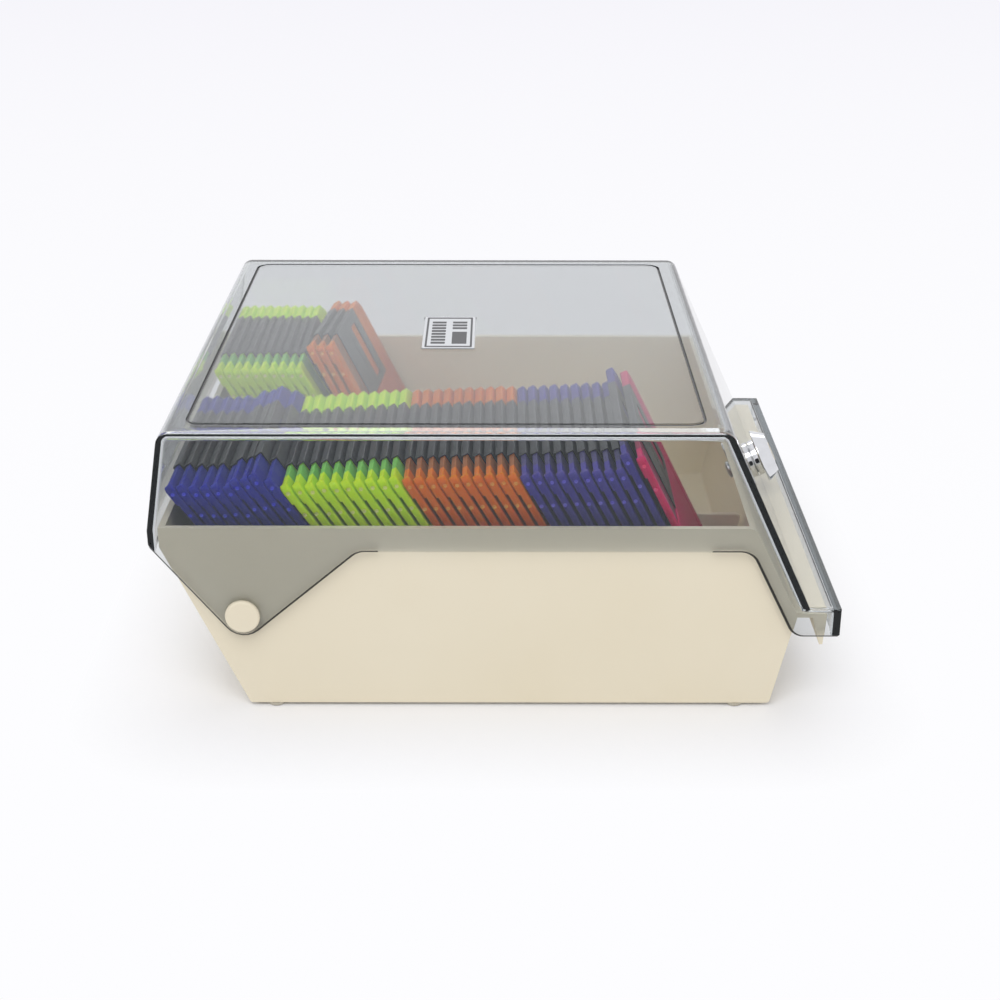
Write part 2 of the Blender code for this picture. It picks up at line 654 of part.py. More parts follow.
def diskettes(colours, shutter):
    """The near row is full. The far row has one pack and three loose diskettes, then free space."""
    next_x = NEAR_ROW_START_X
    for name, lean, gap, proud in NEAR_PACKS:
        colour = colours[name.split("_")[0]]
        next_x = disk_pack(name, next_x, -ROW_Y, math.radians(lean), gap, proud, colour)
    red_place = disk_place(next_x, -ROW_Y, 0, math.radians(RED_LEAN))
    single_disk("red", red_place @ Matrix.Translation((0, 0, RED_PROUD)), colours["red"], shutter)

    name, lean, gap, proud = FAR_PACK
    next_x = disk_pack(name, FAR_ROW_START_X, ROW_Y, math.radians(lean), gap, proud, colours["green"])
    lean = math.radians(FAR_LOOSE_LEAN)
    roll = math.radians(FAR_LOOSE_ROLL)
    lift = DISK_WIDTH / 2 * math.sin(abs(roll)) * math.cos(lean)
    for number in range(FAR_LOOSE_COUNT):
        x = next_x + number * (DISK_THICK + GAP) / math.cos(lean)
        place = disk_place(x, ROW_Y + FAR_LOOSE_SHIFT_Y, lift, lean, roll)
        single_disk(f"orange_{number + 1}", place, colours["orange"], shutter)


def main():
    clear_scene()
    cream = material("cream_abs", (0.76, 0.69, 0.55), 0.45)
    smoke = material("smoked_styrene", (0.16, 0.17, 0.17), 0.08, alpha=0.4)
    chrome = material("chromed_zinc", (0.8, 0.8, 0.82), 0.12, 1.0)
    steel = material("zinc_plated_steel", (0.6, 0.6, 0.62), 0.35, 1.0)
    brass = material("nickel_brass", (0.7, 0.68, 0.6), 0.25, 1.0)
    plate = material("silver_print_plate", (0.75, 0.75, 0.76), 0.35, 0.2)
    pad = material("clear_foot_pad", (0.7, 0.68, 0.62), 0.6)
    shutter = material("black_shutter", (0.03, 0.03, 0.035), 0.45)
    tints = {
        "blue": (0.03, 0.04, 0.35), "green": (0.3, 0.62, 0.03), "orange": (0.75, 0.2, 0.02),
        "violet": (0.06, 0.03, 0.28), "red": (0.55, 0.02, 0.09),
    }
    colours = {name: material(f"{name}_shell", tint, 0.2) for name, tint in tints.items()}

    base_tray(cream)
    row_divider(cream)
    feet(pad)
    hinge(cream, steel)
    lid = [lid_shell(smoke), label_plate(plate)] + lock_body(chrome, steel)
    core = lock_core(brass, steel)
    lid_axis = joint_empty("lid_axis", Matrix.Translation((PIVOT_X, 0, PIVOT_Z)))
    lock_axis = joint_empty("lock_axis", LOCK_PLACE)
    carry(lock_axis, *core)
    carry(lid_axis, lock_axis, *lid)
    diskettes(colours, shutter)


main()
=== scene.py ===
"""Looks of the two-row diskette box: cream tray, smoked lid with a key lock, and the diskettes in it.

Pieces are modelled in millimetres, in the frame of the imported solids, and go into metres when finished.
+X is the lock end, -X the hinge end, -Y the near long side and +Z up.
Outlines are corners of (a, b, radius), rectangles (low a, high a, low b, high b, radius), turned profiles
points of (radius, height), and round holes (radius, low, high).
"""

import math

import bmesh
import bpy
from mathutils import Matrix, Vector


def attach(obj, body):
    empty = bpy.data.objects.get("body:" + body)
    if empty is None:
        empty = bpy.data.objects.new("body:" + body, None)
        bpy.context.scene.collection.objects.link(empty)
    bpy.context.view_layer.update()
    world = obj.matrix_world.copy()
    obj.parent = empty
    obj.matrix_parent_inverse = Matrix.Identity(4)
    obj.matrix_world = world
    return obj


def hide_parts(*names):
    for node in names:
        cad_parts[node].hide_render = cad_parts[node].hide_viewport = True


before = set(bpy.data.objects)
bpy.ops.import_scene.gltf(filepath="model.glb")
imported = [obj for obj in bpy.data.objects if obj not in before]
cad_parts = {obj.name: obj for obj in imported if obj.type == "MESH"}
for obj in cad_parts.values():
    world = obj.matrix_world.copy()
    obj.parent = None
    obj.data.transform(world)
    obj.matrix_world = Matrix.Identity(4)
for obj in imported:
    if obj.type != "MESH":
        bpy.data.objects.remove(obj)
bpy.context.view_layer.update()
MM = 0.001
# Closer than this counts as the same place
NEAR_ENOUGH = 0.01
# How far a cutter reaches beyond the face that it cuts
OVERCUT = 1
TOP_OVERCUT = 4

# Lid
LID_HALF_WIDTH = 108.9
LID_WALL = 2.0
LID_TOP = 107.8
LID_EDGE = 0.25
LID_FILLET = 1.5
LID_CREASE = 34
PANEL_HEAD = (79.8, LID_TOP)
PANEL_FOOT = (110.8, 40.9)
LID_UPPER = (
    (-122.0, 64.6, 0), (-122.0, 71.2, 0), (-115.9, LID_TOP, 4.5), (*PANEL_HEAD, 4.5),
    (*PANEL_FOOT, 0), (122.0, 40.9, 0), (122.0, 29.6, 0),
)
LID_LOWER = ((105.4, 29.6, 6), (88.9, 62.8, 6), (-49.0, 62.8, 6), (-91.58, 26.45, 7.9))
LID_INSIDE = (
    (-120.4, 10.0, 0), (-120.4, 71.1, 0), (-114.6, 105.8, 2.5), (78.3, 105.8, 2.5),
    (108.93, 39.7, 0), (119.8, 39.7, 0), (119.8, 10.0, 0),
)
# Numbers of the lid's two materials: the clear smoke, and an opaque painted shade
CLEAR, LID_PAINTED_SHADE = 0, 1
# The flat cut along the lower edge of each side carries painted shade, apart from a stretch along X
CUT_FLAT = 1.0
CLEAR_RIM = (-42.0, 75.0)
# Beyond this distance from the middle the top, with its rounded ends, falls a little towards each side
BORDER_Y = 103.7
BORDER_FALL = 0.24
TOP_ZONE = 4
# Groove round the lid's top, with a shallow step along its inner side; the groove's walls carry painted
# shade
GROOVE = (-108.0, 72.2, -101.2, 101.2, 6.0)
GROOVE_WIDTH = 1.0
GROOVE_DEPTH = 0.6
STEP_WIDTH = 1.6
STEP_DEPTH = 0.15

# Title plate, let into a bed with a gap all round
PLATE_CORNER = 0.8
PLATE = (-29.7, -9.1, -18.8, 21.2, PLATE_CORNER)
PLATE_LOW = 107.5
PLATE_TOP = 108.06
PLATE_EDGE = 0.15
PLATE_GAP = 0.3
BED_DEPTH = 0.6
PRINT_TOP = 108.1
PRINT_LOW = PLATE_TOP - 0.1
PRINT_MARGIN = 1.1
PRINT_CORNER = 0.5
PRINT_LINE = 0.8
# The frame's inside is a little shorter, so that its two end lines are broader
PRINT_SHORTEN = 0.965
LEFT_BARS = (-26.4, -20.8)
RIGHT_BARS = (-18.2, -12.4)
BAR_ROWS = 8
BAR_START = -13.6
BAR_PITCH = 3.7
BAR_WIDTH = 2.4
BAR_CORNER = 0.3
# One tall block stands in for the first bars on the right
BLOCK_ROWS = 5
BLOCK_END = 1.4

# Tray
TRAY_HALF_WIDTH = 105.9
TRAY_WALL = 2.3
TRAY_RIM = 71.3
TRAY_EDGE = 0.35
# Side edges that rise by more than this run up a corner, and are rounded
TRAY_RISE = 4
TRAY_CORNER = 2.0
TRAY_OUTSIDE = (
    (-90.0, 1.2, 1.2), (-118.6, 64.0, 0), (-118.6, TRAY_RIM, 0), (90.2, TRAY_RIM, 4),
    (106.95, 37.15, 0), (99.0, 1.2, 1.2),
)
TRAY_INSIDE = (
    (-89.1, 4.8, 1.7), (-116.3, 64.51, 0), (-116.3, 123.7, 0), (63.71, 123.7, 0),
    (103.93, 36.89, 0), (96.75, 4.8, 1.7),
)
LEDGE = (
    (104.75, 36.2, 0), (104.75, 38.1, 0), (117.6, 38.1, 0),
    (116.9, 25.0, 0), (115.7, 25.0, 0), (112.4, 36.2, 0),
)
LEDGE_END = 105.1
# Notch in the front wall that lets the lock's cam pass
CAM_NOTCH = (20, 109.35, 41.7, 126)
CAM_NOTCH_HALF = 9.5
DIVIDER = ((-85.87, 5.1, 0), (-99.43, 30.3, 2), (101.32, 30.3, 2), (93.91, 5.1, 0))
DIVIDER_HALF = 1
DIVIDER_UPPER = 20
DIVIDER_EDGE = 0.6
FEET = {
    "foot_near_rear": (-80.8, -103.6), "foot_near_front": (86.5, -103.6),
    "foot_far_rear": (-80.8, 103.6), "foot_far_front": (86.5, 103.6),
}
FOOT_PAD = ((0, 0), (2.8, 0), (3.1, 0.3), (3.0, 1.1), (0, 1.1))
FOOT_EDGE = 0.2

# Hinge: heights of the plug run outwards from the middle of the box
PIVOT = (-90.5, 0.0, 38.4)
PIVOT_HOLE = (3.4, -120, 120)
HINGE_PLUG = (
    (0, 100), (2.6, 100), (3.1, 100.6), (3.1, 109.2),
    (6.2, 109.2), (6.2, 110.3), (5.7, 110.9), (0, 110.9),
)
HINGE_PLUG_EDGE = 0.25

# Lock: heights run outwards from the face of the lid's sloping front panel
PANEL_LEAN = math.atan2(PANEL_FOOT[0] - PANEL_HEAD[0], PANEL_HEAD[1] - PANEL_FOOT[1])
LOCK_SPOT = (104.591, 0, 54.3)
LOCK_PLACE = Matrix.Translation(LOCK_SPOT) @ Matrix.Rotation(math.pi / 2 - PANEL_LEAN, 4, "Y")
PANEL_HOLE = (6.3, -6, 2)
BEZEL = ((4.3, 2.7), (11, 2.7), (11, 3.3), (8, 7.9), (4.3, 7.9))
BEZEL_EDGE = 0.35
SPACER = ((6.3, 0.3), (7.5, 0.3), (7.5, 2.4), (6.3, 2.4))
SPACER_EDGE = 0.08
SPACER_WINDOW = (-1.0, 1.0, 0.6, 2.1, 0.5)
SPACER_WINDOW_REACH = (-9, -6.8)
SPACER_WINDOW_TURN = -12
SLEEVE_HEAD = ((4.3, -7.0), (4.3, 2.4), (6.0, 2.4), (6.0, -2.0))
SLEEVE_TAIL = ((5.8, -6.9), (5.6, -7.0))
THREAD_CREST = 6.0
THREAD_ROOT = 5.6
THREAD_RIDGES = 6
THREAD_TOP = -2.2
THREAD_PITCH = 0.76
THREAD_FALL = 0.36
NUT_RADIUS = 8.6
NUT_LOW = -5.3
NUT_THICK = 3
NUT_ROUND = 0.5
NUT_HOLE = (6.3, -7, -1)
KEY_PLUG = ((0, -7.7), (4, -7.7), (4, 7.9), (3.7, 8.2), (0, 8.2))
KEY_PLUG_EDGE = 0.1
KEY_SLOT = (-2.5, 2.5, -0.5, 0.5)
KEY_WARD = (0.6, 1.4, -0.9, 0.2)
KEY_DEPTH = (5.2, 9)
KEY_PLUG_HOLE = (2.0, -9, -4.8)
CAM_BAR = (-12, 3.2, -3.2, 3.2, 3.1)
CAM_BAR_DEPTH = (-9.5, -8.0)
CAM_HOLE = (2.0, -12, -6)
CAM_BOLT = ((0, -11.6), (2.4, -11.6), (3.5, -10.9), (3.5, -9.8), (1.7, -9.8), (1.7, -5.1), (0, -5.1))
BOLT_CROSS_REACH = 2.0
BOLT_CROSS_HALF = 0.35
BOLT_CROSS_DEPTH = (-13, -10.6)
STEEL_EDGE = 0.15

# Diskettes
CASE_HALF = 45.0
CASE_HEIGHT = 94.0
CASE_THICK = 3.2
CASE_CORNER = 2.5
CASE_ROUND = 0.8
CUT_CORNER = 4
CUT_CORNER_ROUND = 0.6
SHUTTER_HALF = 25.0
SHUTTER_LOW = 62.0
SHUTTER_SHEET = 0.4
# Head window through both faces of the shutter, and a panel pressed into its front
HEAD_WINDOW = (3.0, 14.6, CASE_HEIGHT - 29.0, CASE_HEIGHT - 4.5, 0.8)
PRESSED_PANEL = (-17.0, -5.0, CASE_HEIGHT - 28.5, CASE_HEIGHT - 4.5, 0.8)
PRESSED_DEPTH = 0.12
# Shallow track round the case where the shutter slides, and the core that stays inside it
TRACK_DEPTH = 0.7
TRACK = (-43.3, 25.3, SHUTTER_LOW - 0.3, CASE_HEIGHT + 2)
TRACK_CORE = (-50, 30, SHUTTER_LOW - 2, CASE_HEIGHT - TRACK_DEPTH)
# Pits moulded in both sides of the case, and how far below its top
PIT = ((0, -2), (0.75, -2), (0.75, 0.3), (0, 0.7))
PIT_DROPS = (3.6, 13.4)
# Square holes, thumb grips and label recess
HOLE_Y = 40.3
HOLE_HALF = 2
HOLE_Z = (6, 10)
GRIP_WIDTH = 7
GRIP_Z = (12, CASE_HEIGHT - 8)
GRIP_CORNER = 0.6
GRIP_DEPTH = 0.8
LABEL_RECESS = (-35, 35, 3, 57, 2)
LABEL_DEPTH = 0.25
# The wall is thin over the dark disc beside the shutter
THIN_WALL = (-34.5, -25.0)
# Numbers of a case's three materials: plain, over the thin wall, and the painted highlight in the pits
PLAIN, THIN, PAINTED_GLINT = 0, 1, 2
STAND_Z = 5.1
ROW_Y = 52.5
# How far each diskette stands proud, and the slack in its ten
NEAR_ROW = {
    "blue": ((0.2, 0.4, 0, 0, 0.5, 0, 2.8, 3.3, 5.0, 2.6), 0.6),
    "green": ((0, 0.2, 0, 0.5, 0.2, 0.5, 0.3, 0.6, 0.4, 0.8), 0.6),
    "orange": ((0, 0.2, 0.1, 0.3, 0.2, 0.5, 0.3, 0.4, 0.6, 0.3), 1.8),
    "violet": ((0, 0.3, 0.2, 0.4, 0.3, 0.5, 0.6, 0.7, 0.9, 7.1), 2.4),
}
NEAR_ROW_X = -63.6
# Number along the near row, and degrees from upright there
NEAR_LEANS = ((0, 34.9), (10, 34.2), (20, 31.2), (30, 29.4), (40, 27.0))
RED_LEAN = 26.6
RED_PROUD = 5.2
FAR_ROW_X = -70.9
FAR_LEAN = 28.5
FAR_GREEN = (0, 0.3, 0.1, 0.4, 0.2, 0.5, 0.3, 0.5, 0.2, 0.4)
# The three loose orange diskettes, each rolled on to one lower corner
LOOSE_COUNT = 3
LOOSE_LEAN = 27.0
LOOSE_ROLL = 5.6
LOOSE_PITCH = 3.5
LOOSE_GAP = 0.4
LOOSE_SHIFT = 4.4

# Studio, in metres and degrees
FLOOR_SIZE = 8.0
# Half the length and width of the box's foot
FOOTPRINT = (0.100, 0.106, 0)
# Between these distances from the foot its shadow fades
SHADOW_FADE = (-0.002, 0.056)
# Between these places along Y the paper's white greys, painted shade for light falling off far away
PAPER_SHADE_SPAN = (0.0, 2.2)
WHITE = "#FDFDFF"
FAR_WHITE_PAINTED_SHADE = "#F5F4FA"
# Strength of the surroundings as light on the box, and as they are seen
LIGHT_LEVEL = 0.68
SEEN_LEVEL = 1.0
# Place, aim, size and watts
LAMPS = {
    "rear_soft_lamp": ((0, 1.0, 0.84), (0, -0.1, 0.1), (1.3, 0.36), 4.2),
    "front_soft_lamp": ((-0.12, -0.78, 1.15), (0.02, -0.02, 0.05), (1.0, 0.6), 6.2),
}
CAMERA_PLACE = (-0.00047, -0.64553, 0.31716)
CAMERA_TURN = (90 - 23.56, -0.114, -0.072)
CAMERA_LENS = 61.2
CAMERA_SENSOR = 36.0
CAMERA_NEAR = 0.01


# Shapes

def at(a, b, depth, along):
    """A point of an outline: (a, b) is (Y, Z) along X, (X, Z) along Y and (X, Y) along Z."""
    return {"X": (depth, a, b), "Y": (a, depth, b), "Z": (a, b, depth)}[along]


def rectangle(low_a, high_a, low_b, high_b, radius=0.0):
    """The outline of a rectangle."""
    corners = ((low_a, low_b), (low_a, high_b), (high_a, high_b), (high_a, low_b))
    return [(*corner, radius) for corner in corners]


def grown(sides, margin, radius):
    """The outline of a rectangle that is made larger all round, or smaller."""
    low_a, high_a, low_b, high_b = sides[:4]
    return rectangle(low_a - margin, high_a + margin, low_b - margin, high_b + margin, radius)


def flat(corners, depth, along, steps=6):
    """A flat face through the corners of an outline, each rounded by its radius."""
    builder = bmesh.new()
    points = [builder.verts.new(at(a, b, depth, along)) for a, b, _ in corners]
    builder.faces.new(points)
    for index, (a, b, radius) in enumerate(corners):
        if radius:
            here = Vector((a, b))
            back = Vector(corners[index - 1][:2]) - here
            ahead = Vector(corners[(index + 1) % len(corners)][:2]) - here
            bmesh.ops.bevel(
                builder, geom=[points[index]], offset=radius / math.tan(back.angle(ahead) / 2),
                offset_type="OFFSET", affect="VERTICES", segments=steps, profile=0.5, material=-1,
            )
    return builder


def pull(builder, way):
    """Pulls the flat faces along a vector into a solid."""
    pulled = bmesh.ops.extrude_face_region(builder, geom=builder.faces[:])["geom"]
    ends = [item for item in pulled if isinstance(item, bmesh.types.BMVert)]
    bmesh.ops.translate(builder, verts=ends, vec=way)
    bmesh.ops.recalc_face_normals(builder, faces=builder.faces[:])
    return builder


def slab(corners, low, high, along, steps=6):
    """A solid with one outline all along an axis."""
    return pull(flat(corners, low, along, steps), at(0, 0, high - low, along))


def band(corners, low, rise, width, shorten=1.0):
    """A solid band along the inside of an outline seen from above, its inner outline shortened along Y."""
    builder = flat(corners, low, "Z")
    bmesh.ops.inset_region(
        builder, faces=builder.faces[:], thickness=width, use_even_offset=True, use_boundary=True,
    )
    middle = max(builder.faces, key=lambda face: face.calc_area())
    for vert in middle.verts:
        vert.co.y *= shorten
    bmesh.ops.delete(builder, geom=[middle], context="FACES")
    return pull(builder, (0, 0, rise))


def turned(profile, steps=48, ring=False):
    """A round solid about Z from a profile, which closes on itself where it is a ring."""
    builder = bmesh.new()
    points = [builder.verts.new((radius, 0, height)) for radius, height in profile]
    edges = [builder.edges.new(pair) for pair in zip(points, points[1:])]
    if ring:
        edges.append(builder.edges.new((points[-1], points[0])))
    bmesh.ops.spin(
        builder, geom=points + edges, cent=(0, 0, 0), axis=(0, 0, 1), angle=math.tau,
        steps=steps, use_merge=True,
    )
    bmesh.ops.remove_doubles(builder, verts=builder.verts[:], dist=0.001)
    bmesh.ops.recalc_face_normals(builder, faces=builder.faces[:])
    return builder


def bore(radius, low, high):
    """A cutter for a round hole about Z."""
    return turned(((0, low), (radius, low), (radius, high), (0, high)))


def placed(builder, place):
    """Moves a whole mesh to its place."""
    bmesh.ops.transform(builder, matrix=place, verts=builder.verts[:])
    return builder


def painted(builder, number):
    """Gives every face the material of that number."""
    for face in builder.faces:
        face.material_index = number
    return builder


def score(builder, spot, way):
    """Divides the faces along a plane, so that shape or material can change there."""
    every = builder.verts[:] + builder.edges[:] + builder.faces[:]
    bmesh.ops.bisect_plane(builder, geom=every, plane_co=spot, plane_no=way)


def sharp(builder):
    """Edges that turn by more than 30 degrees."""
    limit = math.radians(30)
    return [edge for edge in builder.edges if len(edge.link_faces) == 2 and edge.calc_face_angle(0) > limit]


def above(edges, height):
    """Those edges that lie above a height."""
    return [edge for edge in edges if min(vert.co.z for vert in edge.verts) > height]


def reach(edge, axis):
    """How far an edge runs along an axis."""
    return abs(edge.verts[0].co[axis] - edge.verts[1].co[axis])


def across(builder, axis):
    """Edges that keep to one place along an axis."""
    return [edge for edge in builder.edges if reach(edge, axis) < NEAR_ENOUGH]


def side_edges(builder, half):
    """Edges round both side faces of a slab: those of its upper faces, and those of its underside."""
    upper, lower = [], []
    for edge in builder.edges:
        faces = edge.link_faces
        beside = min(abs(vert.co.y) for vert in edge.verts) > half - 1
        if beside and len(faces) == 2 and edge.calc_face_angle(0) > 0.9:
            under = any(face.normal.z < -NEAR_ENOUGH for face in faces)
            (lower if under else upper).append(edge)
    return upper, lower


def soften(builder, edges, radius, segments=3):
    """Rounds edges and gives the new faces."""
    return bmesh.ops.bevel(
        builder, geom=list(edges), offset=radius, offset_type="OFFSET", affect="EDGES",
        segments=segments, profile=0.5, material=-1, clamp_overlap=True,
    )["faces"]


def shown(name, data):
    """Puts a new object into the scene."""
    obj = bpy.data.objects.new(name, data)
    bpy.context.scene.collection.objects.link(obj)
    return obj


def shaped(name, builder):
    """Makes an object of a mesh that was being built."""
    mesh = bpy.data.meshes.new(name)
    builder.to_mesh(mesh)
    builder.free()
    return shown(name, mesh)


def solid(name, builder, place=None):
    """Makes an object of a solid, its faces outward and its place in the mesh."""
    if place is not None:
        placed(builder, place)
    bmesh.ops.recalc_face_normals(builder, faces=builder.faces[:])
    return shaped(name, builder)


def settle(obj):
    """Takes the modifiers of a piece into its mesh."""
    seen = bpy.context.evaluated_depsgraph_get()
    mesh = bpy.data.meshes.new_from_object(obj.evaluated_get(seen))
    obj.modifiers.clear()
    obj.data = mesh


def carve(obj, *cutters, operation="DIFFERENCE"):
    """Cuts other solids out of a piece for good, or joins them on."""
    for number, cutter in enumerate(cutters):
        other = solid(f"{obj.name}_cutter_{number}", cutter)
        step = obj.modifiers.new("carve", "BOOLEAN")
        step.operation = operation
        step.solver = "EXACT"
        step.object = other
        settle(obj)
        bpy.data.objects.remove(other, do_unlink=True)


def mesh_only(obj):
    """The mesh of a piece that is itself no longer wanted."""
    mesh = obj.data
    bpy.data.objects.remove(obj, do_unlink=True)
    return mesh


def copies(mesh, places):
    """One mesh with a copy of another at each place."""
    builder = bmesh.new()
    for place in places:
        start = len(builder.verts)
        builder.from_mesh(mesh)
        builder.verts.ensure_lookup_table()
        bmesh.ops.transform(builder, matrix=place, verts=builder.verts[start:])
    return builder


def dress(obj, material, body, slot, *nodes, crease=32, edge=0.0):
    """Finishes a piece: metres, material, smooth shading, and the body and solids it stands for."""
    mesh = obj.data
    mesh.transform(Matrix.Scale(MM, 4))
    if not mesh.materials:
        mesh.materials.append(material)
    if edge:
        rounding = obj.modifiers.new("edge_round", "BEVEL")
        rounding.width = edge * MM
        rounding.segments = 2
        rounding.limit_method = "ANGLE"
        rounding.angle_limit = math.radians(40)
        rounding.use_clamp_overlap = True
        settle(obj)
        mesh = obj.data
    mesh.shade_smooth()
    mesh.set_sharp_from_angle(angle=math.radians(crease))
    weights = obj.modifiers.new("face_weights", "WEIGHTED_NORMAL")
    weights.keep_sharp = True
    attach(obj, body)
    if nodes:
        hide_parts(*nodes)


# Materials

# Sockets of a Mix node that mixes colours
MIX_A, MIX_B, MIX_OUT = 6, 7, 2


def tint(code):
    """A hex sRGB colour as linear values."""
    channels = [int(code[start:start + 2], 16) / 255 for start in (1, 3, 5)]
    return tuple(c / 12.92 if c <= 0.04045 else ((c + 0.055) / 1.055) ** 2.4 for c in channels) + (1.0,)


def per(size):
    """Pattern scale for a detail of a size in millimetres."""
    return 1 / (size * MM)


def add(tree, kind, sockets=None, **settings):
    """Adds a node with its settings, and gives each named socket a value or a link."""
    node = tree.nodes.new(kind)
    for name, value in settings.items():
        setattr(node, name, value)
    for name, value in (sockets or {}).items():
        if isinstance(value, bpy.types.NodeSocket):
            tree.links.new(value, node.inputs[name])
        else:
            node.inputs[name].default_value = value
    return node


def join(tree, source, node, socket):
    """Links a value to a socket of a node that is already there."""
    tree.links.new(source, node.inputs[socket])


def finish(name, **sockets):
    """A new material, its node tree, its main shader and the place on the piece."""
    made = bpy.data.materials.new(name)
    made.use_nodes = True
    tree = made.node_tree
    shader = tree.nodes["Principled BSDF"]
    for socket, value in sockets.items():
        shader.inputs[socket.replace("_", " ")].default_value = value
    return made, tree, shader, add(tree, "ShaderNodeTexCoord").outputs["Object"]


def vary(tree, shader, cloud, colours, grain, gloss):
    """Runs the colour between two tints by one pattern, the roughness by another, and gives the colour."""
    tone = add(tree, "ShaderNodeMix", {
        0: cloud.outputs["Fac"], MIX_A: tint(colours[0]), MIX_B: tint(colours[1]),
    }, data_type="RGBA")
    join(tree, tone.outputs[MIX_OUT], shader, "Base Color")
    rough = add(tree, "ShaderNodeMapRange", {
        "Value": grain.outputs["Fac"], "To Min": gloss[0], "To Max": gloss[1],
    })
    join(tree, rough.outputs["Result"], shader, "Roughness")
    return tone.outputs[MIX_OUT]


def moulded_cream_abs():
    """ABS, moulded with a fine spark texture: soft broad highlight, and a cream yellowed unevenly."""
    made, tree, shader, place = finish("moulded_cream_abs", IOR=1.53, Specular_IOR_Level=0.45)
    drift = add(tree, "ShaderNodeTexNoise", {
        "Vector": place, "Scale": per(55), "Detail": 3.0, "Roughness": 0.5,
    })
    # The spark texture is about 0.15 mm, drawn at 0.5 mm so that it shows
    grain = add(tree, "ShaderNodeTexNoise", {
        "Vector": place, "Scale": per(0.5), "Detail": 2.0, "Roughness": 0.6,
    })
    vary(tree, shader, drift, ("#EBE2CC", "#E6DBC1"), grain, (0.40, 0.58))
    bump = add(tree, "ShaderNodeBump", {
        "Height": grain.outputs["Fac"], "Strength": 0.12, "Distance": 0.1 * MM,
    })
    join(tree, bump.outputs["Normal"], shader, "Normal")
    return made


def smoked_styrene():
    """Polystyrene, moulded smoke grey and polished: clear through its 2 mm, black along the sheet."""
    made, tree, shader, place = finish(
        "smoked_styrene", Base_Color=(1, 1, 1, 1), IOR=1.57, Transmission_Weight=1.0,
        Specular_Tint=(0.56, 0.6, 0.62, 1),
    )
    # Fine rubbed scratches along the box, about 40 mm long, drawn 0.6 mm wide so that they show
    along = add(tree, "ShaderNodeMapping", {"Vector": place, "Scale": (per(40), per(0.6), per(0.6))})
    rub = add(tree, "ShaderNodeTexNoise", {"Vector": along.outputs["Vector"], "Scale": 1.0, "Detail": 3.0})
    haze = add(tree, "ShaderNodeMapRange", {
        "Value": rub.outputs["Fac"], "From Min": 0.5, "From Max": 0.75, "To Min": 0.02, "To Max": 0.06,
    })
    join(tree, haze.outputs["Result"], shader, "Roughness")
    smoke = add(tree, "ShaderNodeVolumeAbsorption", {"Color": tint("#6C8089"), "Density": 144.0})
    surface = tree.nodes["Material Output"]
    join(tree, smoke.outputs["Volume"], surface, "Volume")
    # Lamps shine through the sheet, a little weaker, instead of being stopped by it
    ray = add(tree, "ShaderNodeLightPath")
    open_sheet = add(tree, "ShaderNodeBsdfTransparent", {"Color": (0.93, 0.935, 0.94, 1)})
    lit = add(tree, "ShaderNodeMixShader", {
        0: ray.outputs["Is Shadow Ray"], 1: shader.outputs["BSDF"], 2: open_sheet.outputs["BSDF"],
    })
    join(tree, lit.outputs["Shader"], surface, "Surface")
    return made


def smoked_painted_shade():
    """Painted shade on the smoked lid where it is cut or grooved: opaque satin black for light lost along
    the sheet.
    """
    made, tree, shader, place = finish("smoked_painted_shade", IOR=1.5, Specular_IOR_Level=0.4)
    cut = add(tree, "ShaderNodeTexNoise", {"Vector": place, "Scale": per(1.5), "Detail": 2.0})
    vary(tree, shader, cut, ("#0C0C0E", "#18191B"), cut, (0.3, 0.45))
    return made


def translucent_styrene(name, light, deep, low="#4C4E50"):
    """Tinted polystyrene, moulded satin: light soaks in and comes out coloured, with painted shade lower
    down.
    """
    made, tree, shader, place = finish(
        name, IOR=1.5, Specular_IOR_Level=0.25, Subsurface_Weight=1.0, Subsurface_Scale=2.5 * MM,
        Subsurface_Radius=(1.0, 1.0, 1.0),
    )
    cloud = add(tree, "ShaderNodeTexNoise", {"Vector": place, "Scale": per(14), "Detail": 2.0})
    skin = add(tree, "ShaderNodeTexNoise", {"Vector": place, "Scale": per(2.5), "Detail": 2.0})
    tone = vary(tree, shader, cloud, (deep, light), skin, (0.48, 0.62))
    # Painted shade: below the tops, from 80 down to 62 mm above the desk, the colour runs to a duller tint
    height = add(tree, "ShaderNodeSeparateXYZ", {0: place})
    lower_painted_shade = add(tree, "ShaderNodeMapRange", {
        "Value": height.outputs["Z"], "From Min": 62 * MM, "From Max": 80 * MM,
        "To Min": 0.75, "To Max": 0.0,
    })
    seen = add(tree, "ShaderNodeMix", {
        0: lower_painted_shade.outputs["Result"], MIX_A: tone, MIX_B: tint(low),
    }, data_type="RGBA")
    join(tree, seen.outputs[MIX_OUT], shader, "Base Color")
    return made


def black_shutter_sheet():
    """Painted steel sheet, satin black: broad grey sheen with fine lengthwise rubbing."""
    made, tree, shader, place = finish("black_shutter_sheet", IOR=1.5, Specular_IOR_Level=0.5)
    along = add(tree, "ShaderNodeMapping", {"Vector": place, "Scale": (per(0.8), per(9), per(0.8))})
    rub = add(tree, "ShaderNodeTexNoise", {"Vector": along.outputs["Vector"], "Scale": 1.0, "Detail": 3.0})
    vary(tree, shader, rub, ("#1C1D21", "#282A2E"), rub, (0.34, 0.52))
    return made


def plated_metal(name, colours, gloss, size):
    """Plated metal: bright mirror or soft grey, with faint smudges that blur it here and there."""
    made, tree, shader, place = finish(name, Metallic=1.0)
    smudge = add(tree, "ShaderNodeTexNoise", {
        "Vector": place, "Scale": per(size), "Detail": 4.0, "Roughness": 0.6,
    })
    vary(tree, shader, smudge, colours, smudge, gloss)
    return made


def silvered_film():
    """Polyester label film with a pale silver coat: half metal, finely grained, slightly soiled."""
    made, tree, shader, place = finish("silvered_film", Metallic=0.35)
    grain = add(tree, "ShaderNodeTexNoise", {"Vector": place, "Scale": per(0.6), "Detail": 3.0})
    vary(tree, shader, grain, ("#C6C8CB", "#B4B6BA"), grain, (0.30, 0.45))
    return made


